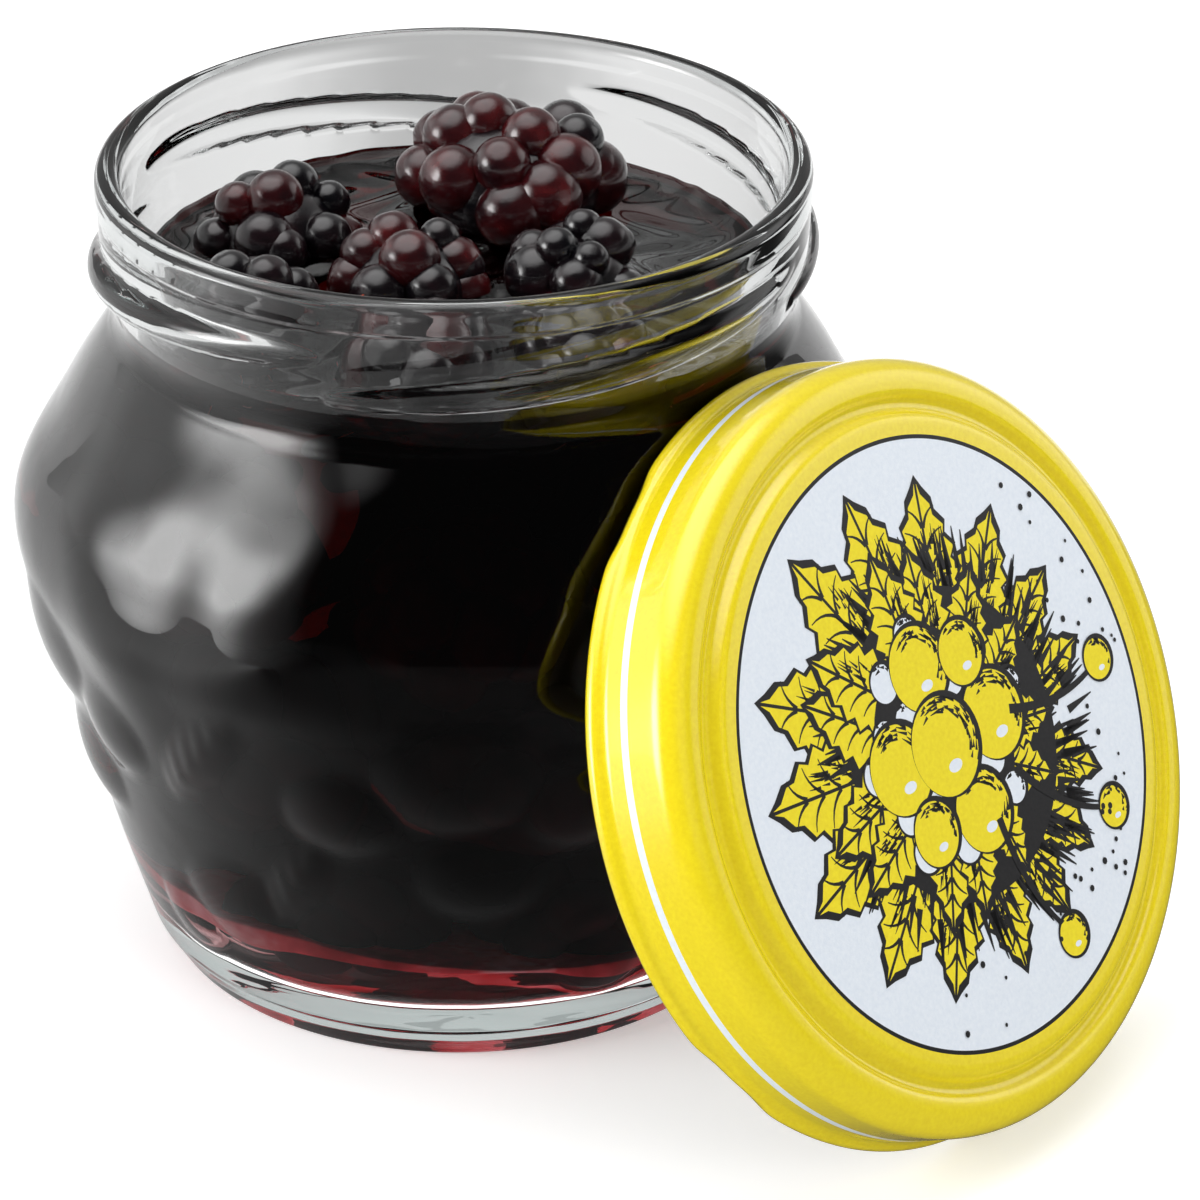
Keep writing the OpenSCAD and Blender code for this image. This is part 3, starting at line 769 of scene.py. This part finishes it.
def make_berries():
    """The berries at the surface, then the sunk layers with one berry in the middle of each."""
    for key in TOPS:
        c, a, b = spot(key)
        gen = np.random.default_rng(100 + len(key))
        turn = math.radians(TOPS[key][1])
        obj = berry("fruit_top_" + key, c, a, b, TOP_DRUPELET_R, TOP_DRUPELETS, turn, gen,
                    red=0.75 if key == "large" else 0.35, marks=MARKS.get(key, ()))
        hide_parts("berry_top_" + key)
        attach(obj, "jar")
    for layer_name, layer, ring, count in LAYERS:
        for n in range(count + 1):
            centre = n == count
            t = layer * math.pi if centre else 2 * math.pi * (n + layer / 2) / count
            r = 0 if centre else ring
            c = np.array([r * math.cos(t), r * math.sin(t), LAYER_Z + layer * LAYER_STEP])
            gen = np.random.default_rng(500 + 20 * layer + (19 if centre else n))
            word = "%s_%s" % (layer_name, "centre" if centre else n + 1)
            obj = berry("fruit_" + word, c, BERRY_W / 2, BERRY_H / 2, DRUPELET_R, DRUPELETS, t, gen,
                        red=0.3, mats=(SUNK_DARK, SUNK_RED), hairs=0)
            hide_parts("berry_" + word)
            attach(obj, "jar")


# Lid
LID_R, LID_H, SHEET, CURL_R, SKIRT_R = 33.0, 9.8, 0.4, 0.85, 32.3
# Height of the rim's flat, the groove inside it with its depth, and the panel's edge
LEDGE_H, LEDGE_R, GROOVE_R, GROOVE_H, PANEL_R = 9.3, 29.1, 28.2, 8.35, 27.1
# The white ring on the skirt: lower and upper edge
RING_LOW, RING_HIGH = 3.7, 4.45
# Radii of the printed disc and of the black line round it
DISC_R, OUTLINE_R = 25.2, 25.55
# Dents of the curl over the lugs: count, middle of the first, half width, depth and top
DENTS, DENT_AT, DENT_HALF, DENT, DENT_TOP = 4, 31, 7, 0.5, 1.75
LID_PLACE = (Matrix.Rotation(LEAN_TURN, 4, "Z") @ Matrix.Translation((LID_X * MM, 0, LID_Z * MM))
             @ Matrix.Rotation(math.pi / 2 - LEAN, 4, "Y"))


def put_lid(obj):
    """Moves a piece from the lid's own axis to the place where the lid leans."""
    obj.data.transform(LID_PLACE)
    obj.data.update()
    return obj


def lid_lines():
    """The sheet's outer and inner section, without the curl."""
    outer = rounded(
        [(SKIRT_R, 1.2), (SKIRT_R, LEDGE_H), (LEDGE_R, LEDGE_H), (GROOVE_R, GROOVE_H), (PANEL_R, LID_H),
         (0, LID_H)],
        [0, 2.3, 0.8, 0.75, 0.9, 0], 0.2)
    inner = rounded(
        [(0, LID_H - SHEET), (PANEL_R - 0.1, LID_H - SHEET), (GROOVE_R, GROOVE_H - SHEET),
         (LEDGE_R + 0.1, LEDGE_H - SHEET), (SKIRT_R - SHEET, LEDGE_H - SHEET), (SKIRT_R - SHEET, 1.2)],
        [0, 0.5, 1.1, 0.5, 1.9, 0], 0.3)
    return outer, inner


def make_lid():
    """The enamelled sheet: lacquered inside, curled edge, skirt with a white ring, groove and panel."""
    outer, inner = lid_lines()
    curl = [(LID_R - CURL_R + CURL_R * math.cos(t), CURL_R + CURL_R * math.sin(t))
            for t in np.radians(np.linspace(60, -265, 34))]
    skirt = np.array([[SKIRT_R, 1.9], [SKIRT_R, RING_LOW], [SKIRT_R, RING_HIGH], [SKIRT_R, 6.6]])
    shoulder = outer[outer[:, 0] > OUTLINE_R + 0.05][1:]
    panel = [(OUTLINE_R, LID_H), (DISC_R, LID_H), (24, LID_H), (0, LID_H)]
    inside = dense(inner, 1.5)
    outside = dense(np.concatenate([skirt, shoulder, panel]), 0.5)
    line = np.concatenate([inside, np.array(curl)[::-1], outside])
    n_in, n_curl = len(inside), len(curl)
    on_curl = np.zeros(len(line), bool)
    on_curl[n_in:n_in + n_curl] = True
    yellow, white, ink, lacquer = range(4)

    def pick(p, i):
        on_ring = abs(p[0] - SKIRT_R) < 0.02 and RING_LOW - 0.01 < p[1] < RING_HIGH + 0.01
        on_panel = p[1] > LID_H - 0.1
        if i < n_in:
            return lacquer
        if i < n_in + n_curl:
            return yellow
        if on_ring or on_panel and p[0] < DISC_R:
            return white
        if on_panel and p[0] < OUTLINE_R:
            return ink
        return yellow

    def move(a, r, z, nor):
        r = r.copy()
        for k in range(DENTS):
            t = turned(a, math.radians(DENT_AT + 360 / DENTS * k))
            w = np.exp(-(t / math.radians(DENT_HALF)) ** 4)
            r -= DENT * w * on_curl[:, None] * np.clip((DENT_TOP - z) / 1.2, 0, 1)
        return r, z

    return put_lid(lathe("lid_sheet", line, 360, [YELLOW, WHITE, INK, LACQUER], move, pick))


def make_seal():
    """The sealing compound that was flowed into the channel inside the lid."""
    line = rounded(
        [(27.8, 7.15), (29.2, 7.05), (30.2, 7.25), (30.2, 8.2), (29.4, 8.75), (28.3, 7.9), (27.8, 7.95),
         (27.8, 7.15)],
        [0, 0.3, 0.3, 0.3, 0.3, 0.2, 0.1, 0], 0.15)[:-1]

    def move(a, r, z, nor):
        return r, z - 0.05 * smooth_noise(a, r * 3, 12, 10, 3, 12, (4, 9)) * (z < 7.6)

    return put_lid(lathe("lid_seal", line, 300, [COMPOUND], move, closed=True))


# Printed design, flat shapes laid on the panel
BLACK_INK, YELLOW_INK, WHITE_INK = range(3)
# Height of the print over the panel, and how far each shape lies over the one before
PRINT_LIFT, PRINT_STEP = 0.02, 0.0002


class Print:
    """Collects flat shapes in three inks, each laid a hair above the one before."""

    def __init__(self):
        self.parts = []
        self.lift = 0.0
        self.inked = False

    def shape(self, pts, ink):
        """One flat face over all before it."""
        self.lift += PRINT_STEP
        self.inked = False
        z = LID_H + PRINT_LIFT + self.lift
        v = [(x, y, z) for x, y in pts]
        self.parts.append((v, [tuple(range(len(v)))], ink))

    def disc(self, x, y, r, ink, sides=40, squash=1.0, turn=0.0):
        t = np.linspace(0, 2 * np.pi, sides, endpoint=False)
        u, v = r * np.cos(t), r * squash * np.sin(t)
        c, s = math.cos(turn), math.sin(turn)
        self.shape(list(zip(x + u * c - v * s, y + u * s + v * c)), ink)

    def stroke(self, pts, widths, ink):
        """A line of changing width: one quad per piece, so that it may bend."""
        pts = np.array(pts, float)
        d = np.gradient(pts, axis=0)
        n = np.stack([-d[:, 1], d[:, 0]], -1)
        n /= np.maximum(np.linalg.norm(n, axis=1)[:, None], 1e-9)
        w = np.asarray(widths, float)[:, None] / 2
        if not self.inked:
            self.lift += PRINT_STEP
            self.inked = True
        z = np.full((len(pts), 1), LID_H + PRINT_LIFT + self.lift)
        a, b = np.hstack([pts + n * w, z]), np.hstack([pts - n * w, z])
        k = len(pts)
        faces = [(i, k + i, k + i + 1, i + 1) for i in range(k - 1)]
        self.parts.append((np.concatenate([a, b]), faces, ink))

    def build(self):
        return join("lid_print", self.parts, [INK, PRINT_YELLOW, WHITE], smooth=False)


def polar(r, t):
    return r * math.cos(t), r * math.sin(t)


def curve(p0, p1, p2, n):
    """Points on a bend from p0 to p2 that leans to p1."""
    t = np.linspace(0, 1, n)[:, None]
    p0, p1, p2 = (np.array(p, float) for p in (p0, p1, p2))
    return (1 - t) ** 2 * p0 + 2 * t * (1 - t) * p1 + t * t * p2


def ink_leaf(pr, x, y, length, width, turn, gen):
    """A toothed leaf: black shape, coloured halves, black veins and hatching."""
    c, s = math.cos(turn), math.sin(turn)
    start, reach = 0.5, length - 1.2

    def at(u, v):
        return (x + u * c - v * s, y + u * s + v * c)

    u = np.linspace(0, 1, 15)
    half = width / 2 * np.sin(np.pi * u ** 0.8) ** 0.85
    edge = half * (1 + 0.16 * np.where(np.arange(len(u)) % 2 == 0, 1, -0.6))
    up = [at(length * a, b) for a, b in zip(u, edge)]
    down = [at(length * a, -b) for a, b in zip(u, edge)]
    pr.shape(up + down[::-1][1:-1], BLACK_INK)
    for side in (1, -1):
        rim = [at(start + reach * a, side * max(0.0, b - 0.32)) for a, b in zip(u, edge)]
        mid = [at(start + reach * a, side * 0.14) for a in u[::-1]]
        pts = rim[1:-1] + mid
        pr.shape(pts if side < 0 else pts[::-1], YELLOW_INK)
    for k in range(2, 12, 2):
        a, b = u[k], half[k]
        for side in (1, -1):
            tip = start + reach * min(1, a + 0.13)
            vein = curve(at(start + reach * a, side * 0.1), at(tip - 0.3, side * b * 0.25),
                         at(tip, side * b * 0.72), 6)
            pr.stroke(vein, np.linspace(0.34, 0.1, 6), BLACK_INK)
    for _ in range(int(length * 2.4)):
        a = gen.uniform(0.15, 0.6)
        o = gen.uniform(0.15, 0.55) * np.interp(a, u, half)
        end = length * a + gen.uniform(0.7, 1.8)
        pr.stroke([at(length * a, -o), at(end, -o * 1.15)], [0.26, 0.05], BLACK_INK)


def ink_fruit(pr, x, y, r, gen, fill=YELLOW_INK):
    """A round fruit: black edge, coloured inside, crescent shading of short strokes, a light spot."""
    pr.disc(x, y, r, BLACK_INK)
    pr.disc(x + 0.04 * r, y + 0.05 * r, r - 0.3, fill)
    for _ in range(int(r * 10)):
        t = gen.uniform(math.radians(170), math.radians(330))
        q = r * gen.uniform(0.58, 0.9)
        t1 = t + gen.uniform(0.12, 0.34) * r / q
        p0 = (x + q * math.cos(t), y + q * math.sin(t))
        p1 = (x + (q + 0.05) * math.cos(t1), y + (q + 0.05) * math.sin(t1))
        pr.stroke([p0, p1], [0.3, 0.06], BLACK_INK)
    pr.disc(x - 0.28 * r, y + 0.34 * r, 0.2 * r, WHITE_INK, 16, 0.6, 0.6)


def spiral_places(count, spread, start):
    """Points spread evenly over a round patch."""
    for k in range(count):
        r = spread * math.sqrt((k + 0.5) / count)
        t = start + k * GOLDEN
        yield polar(r, t)


def leaf_row(pr, gen, count, shift, ring, dx, length, width, uneven, sway):
    """Leaves that point outward all round, longest towards one side."""
    for k in range(count):
        t = 2 * math.pi * (k + shift) / count
        reach = 1.0 + uneven * math.cos(t)
        ink_leaf(pr, ring * math.cos(t) + dx, ring * math.sin(t), length * reach, width * reach,
                 t + gen.uniform(-sway, sway), gen)


def make_print():
    """A dense heap of fruits on hatched leaves that fan out to one side, with dots in the free white."""
    gen = np.random.default_rng(21)
    pr = Print()
    leaf_row(pr, gen, count=15, shift=0, ring=8.0, dx=-1, length=12.8, width=6.4, uneven=0.22, sway=0.2)
    for _ in range(300):
        t = gen.uniform(0, 2 * math.pi)
        r = 6.0 + 8.5 * math.sqrt(gen.uniform(0, 1))
        x, y = r * math.cos(t) - 1, r * math.sin(t)
        dx, dy = polar(3.4, t + 0.25)
        pr.stroke([(x, y), (x + dx, y + dy)], [0.7, 0.1], BLACK_INK)
    pr.disc(-0.5, 0, 12.6, BLACK_INK, 60)
    leaf_row(pr, gen, count=13, shift=0.4, ring=5.0, dx=0, length=10.5, width=5.4, uneven=0.2, sway=0.25)
    # The heap: small white fruits round large yellow ones
    pr.disc(0.6, 0, 8.4, BLACK_INK, 48)
    for x, y in spiral_places(26, 9.6, 0.4):
        ink_fruit(pr, x + 0.6, y, gen.uniform(1.5, 1.9), gen, WHITE_INK)
    for x, y, r in ((5.4, 3.2, 3.9), (-4.6, 4.4, 3.6), (4.2, -5.2, 3.7), (-5.0, -3.6, 3.9),
                    (0.4, 0.2, 4.3), (0.8, 7.4, 2.9), (-0.6, -7.6, 2.9)):
        ink_fruit(pr, x, y, r, gen)
    # Three stalks with a fruit at the end
    for t in (2.5, 3.1, 3.7):
        tip = polar(20.5, t)
        stalk = curve(polar(8, t), polar(15, t - 0.15), tip, 14)
        pr.stroke(stalk, np.linspace(0.8, 0.4, 14), BLACK_INK)
        ink_fruit(pr, *tip, 2.0, gen)
    for _ in range(46):
        t = gen.uniform(1.7, 4.6)
        r = gen.uniform(17.5, 23.6)
        pr.disc(*polar(r, t), gen.uniform(0.14, 0.3), BLACK_INK, 8)
    obj = pr.build()
    obj.data.transform(Matrix.Rotation(math.radians(235), 4, "Z") @ Matrix.Diagonal((1.04, 1.04, 1, 1)))
    return put_lid(obj)


# The pieces and the bodies that they ride
jar = make_jar()
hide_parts("glass_jar")
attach(jar, "jar")

syrup = make_syrup()
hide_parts("syrup")
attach(syrup, "jar")

# The ribbon of painted glow near the bottom
streak = make_painted_glow()
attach(streak, "jar")

make_berries()

lid = make_lid()
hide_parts("lid_shell")
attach(lid, "lid")
seal = make_seal()
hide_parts("sealing_ring")
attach(seal, "lid")
art = make_print()
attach(art, "lid")


# Table
TABLE_HALF, TABLE_Z = 6000, -0.05
corners = [(x * TABLE_HALF, y * TABLE_HALF, TABLE_Z) for x, y in ((-1, -1), (1, -1), (1, 1), (-1, 1))]
floor = mesh("floor", corners, [(0, 1, 2, 3)], [], smooth=False)
fm, ft = material("floor_white")
fp = node(ft, "ShaderNodeBsdfPrincipled", {
    "Roughness": 0.9, "Specular IOR Level": 0.0, "Emission Color": (1, 1, 1, 1)})
fl = node(ft, "ShaderNodeLightPath").outputs
place = node(ft, "ShaderNodeNewGeometry").outputs["Position"]
# Its brightness where glass mirrors it, and where it is seen through glass, by distances in metres
mirrored = step(ft, along(ft, place, (-0.6, 0.8, 0)), -0.045, 0.075, 0.08, 1.2)
reach = node(ft, "ShaderNodeVectorMath", operation="LENGTH")
ft.links.new(place, reach.inputs[0])
aside = calc(ft, "ABSOLUTE", along(ft, place, (1, 0, 0)), 0.0)
through = calc(ft, "MAXIMUM", step(ft, reach.outputs["Value"], 0.026, 0.04, 1.8, 0.0),
               step(ft, aside, 0.004, 0.026, 0.52, 0.85))
# White paint for the camera and for the light, and a glow that keeps it white to the eye
straight = calc(ft, "MAXIMUM", fl["Is Camera Ray"], fl["Is Diffuse Ray"])
shade = node(ft, "ShaderNodeMix", {"A": 0.0, "B": 0.85})
ft.links.new(straight, shade.inputs["Factor"])
ft.links.new(shade.outputs["Result"], fp.inputs["Base Color"])
bounce = calc(ft, "MAXIMUM", calc(ft, "SUBTRACT", fl["Is Glossy Ray"], fl["Is Transmission Ray"]), 0.0)
glow = calc(ft, "MULTIPLY", fl["Is Camera Ray"], 0.42)
glow = calc(ft, "ADD", glow, calc(ft, "MULTIPLY", bounce, mirrored))
glow = calc(ft, "ADD", glow, calc(ft, "MULTIPLY", fl["Is Transmission Ray"], through))
ft.links.new(glow, fp.inputs["Emission Strength"])
finish_tree(ft, fp)
floor.data.materials.append(fm)


# Lamps
def area(name, at, aim, size, power):
    """A soft lamp in metres and watts that glass doesn't mirror or show."""
    data = bpy.data.lights.new(name, "AREA")
    data.shape = "RECTANGLE"
    data.size, data.size_y = size
    data.energy = power
    obj = bpy.data.objects.new(name, data)
    obj.location = at
    obj.rotation_euler = (Vector(aim) - Vector(at)).to_track_quat("-Z", "Y").to_euler()
    obj.visible_glossy = False
    obj.visible_transmission = False
    bpy.context.scene.collection.objects.link(obj)


area("window_left", (-0.70, -0.28, 0.42), (0, 0, 0.04), (0.5, 0.5), 5.0)
area("overhead", (0.0, 0.10, 0.95), (0, 0, 0.03), (0.9, 0.8), 5.5)
area("front_right", (0.70, -0.75, 0.60), (0.03, 0, 0.03), (0.7, 0.6), 4.0)

# World: how bright mirrored and refracted rays find the room in each direction
world = bpy.data.worlds.new("studio")
bpy.context.scene.world = world
world.use_nodes = True
wt = world.node_tree
for n in list(wt.nodes):
    wt.nodes.remove(n)
way = node(wt, "ShaderNodeTexCoord").outputs["Generated"]
path = node(wt, "ShaderNodeLightPath").outputs


def total(first, *rest):
    """Sum of values in the world's tree."""
    for value in rest:
        first = calc(wt, "ADD", first, value)
    return first


def lobe(direction, low, high, dark, bright, kind="SMOOTHSTEP"):
    """A soft patch of the room round a direction. low and high are cosines to it."""
    return step(wt, along(wt, way, Vector(direction).normalized()), low, high, dark, bright, kind)


backdrop = lobe((0.1, 1, 0.1), -0.05, 0.8, 0.03, 0.4)
left_wall = lobe((-0.98, 0.1, 0.1), 0.6, 0.98, 0.0, 1.3)
window = calc(wt, "POWER", lobe((-0.939, -0.226, 0.259), 0.899, 0.99, 0.0, 1.0, "LINEAR"), 3.47)
window = calc(wt, "MULTIPLY", window, 8.9)
ceiling = lobe((-0.2, 0.1, 0.95), 0.72, 0.97, 0.0, 2.5)
strip = lobe((0.86, 0.30, 0.30), 0.90, 0.99, 0, 1.2)
mirrored_room = total(backdrop, left_wall, window, ceiling, strip)
seen_room = total(lobe((0, 1, -0.1), 0.05, 0.9, 0.03, 0.75), lobe((-1, 0, 0.3), 0.7, 1, 0, 0.9))
through_glass = path["Is Transmission Ray"]
bounced = calc(wt, "MAXIMUM", calc(wt, "SUBTRACT", path["Is Glossy Ray"], through_glass), 0.0)
plain = calc(wt, "SUBTRACT", 1.0, calc(wt, "MAXIMUM", bounced, through_glass))
level = total(calc(wt, "MULTIPLY", mirrored_room, bounced), calc(wt, "MULTIPLY", seen_room, through_glass),
              calc(wt, "MULTIPLY", plain, 0.36))
level = calc(wt, "MAXIMUM", level, path["Is Camera Ray"])
back = node(wt, "ShaderNodeBackground", {"Color": (1, 1, 1, 1)})
out = node(wt, "ShaderNodeOutputWorld")
wt.links.new(level, back.inputs["Strength"])
wt.links.new(back.outputs[0], out.inputs["Surface"])

# Camera
SENSOR = 36
cam_data = bpy.data.cameras.new("photo_camera")
cam_data.sensor_width = SENSOR
cam_data.lens = SENSOR * EYE_F * FRAME_SCALE / PHOTO_W
cam_data.clip_start, cam_data.clip_end = 0.05, 30
cam = bpy.data.objects.new("photo_camera", cam_data)
view = FWD + RIGHT * FRAME_X / EYE_F - UP * FRAME_Y / EYE_F
cam.location = Vector((EYE * MM).tolist())
cam.rotation_euler = Vector(view.tolist()).to_track_quat("-Z", "Y").to_euler()
bpy.context.scene.collection.objects.link(cam)
bpy.context.scene.camera = cam
bpy.context.scene.view_settings.view_transform = "Standard"
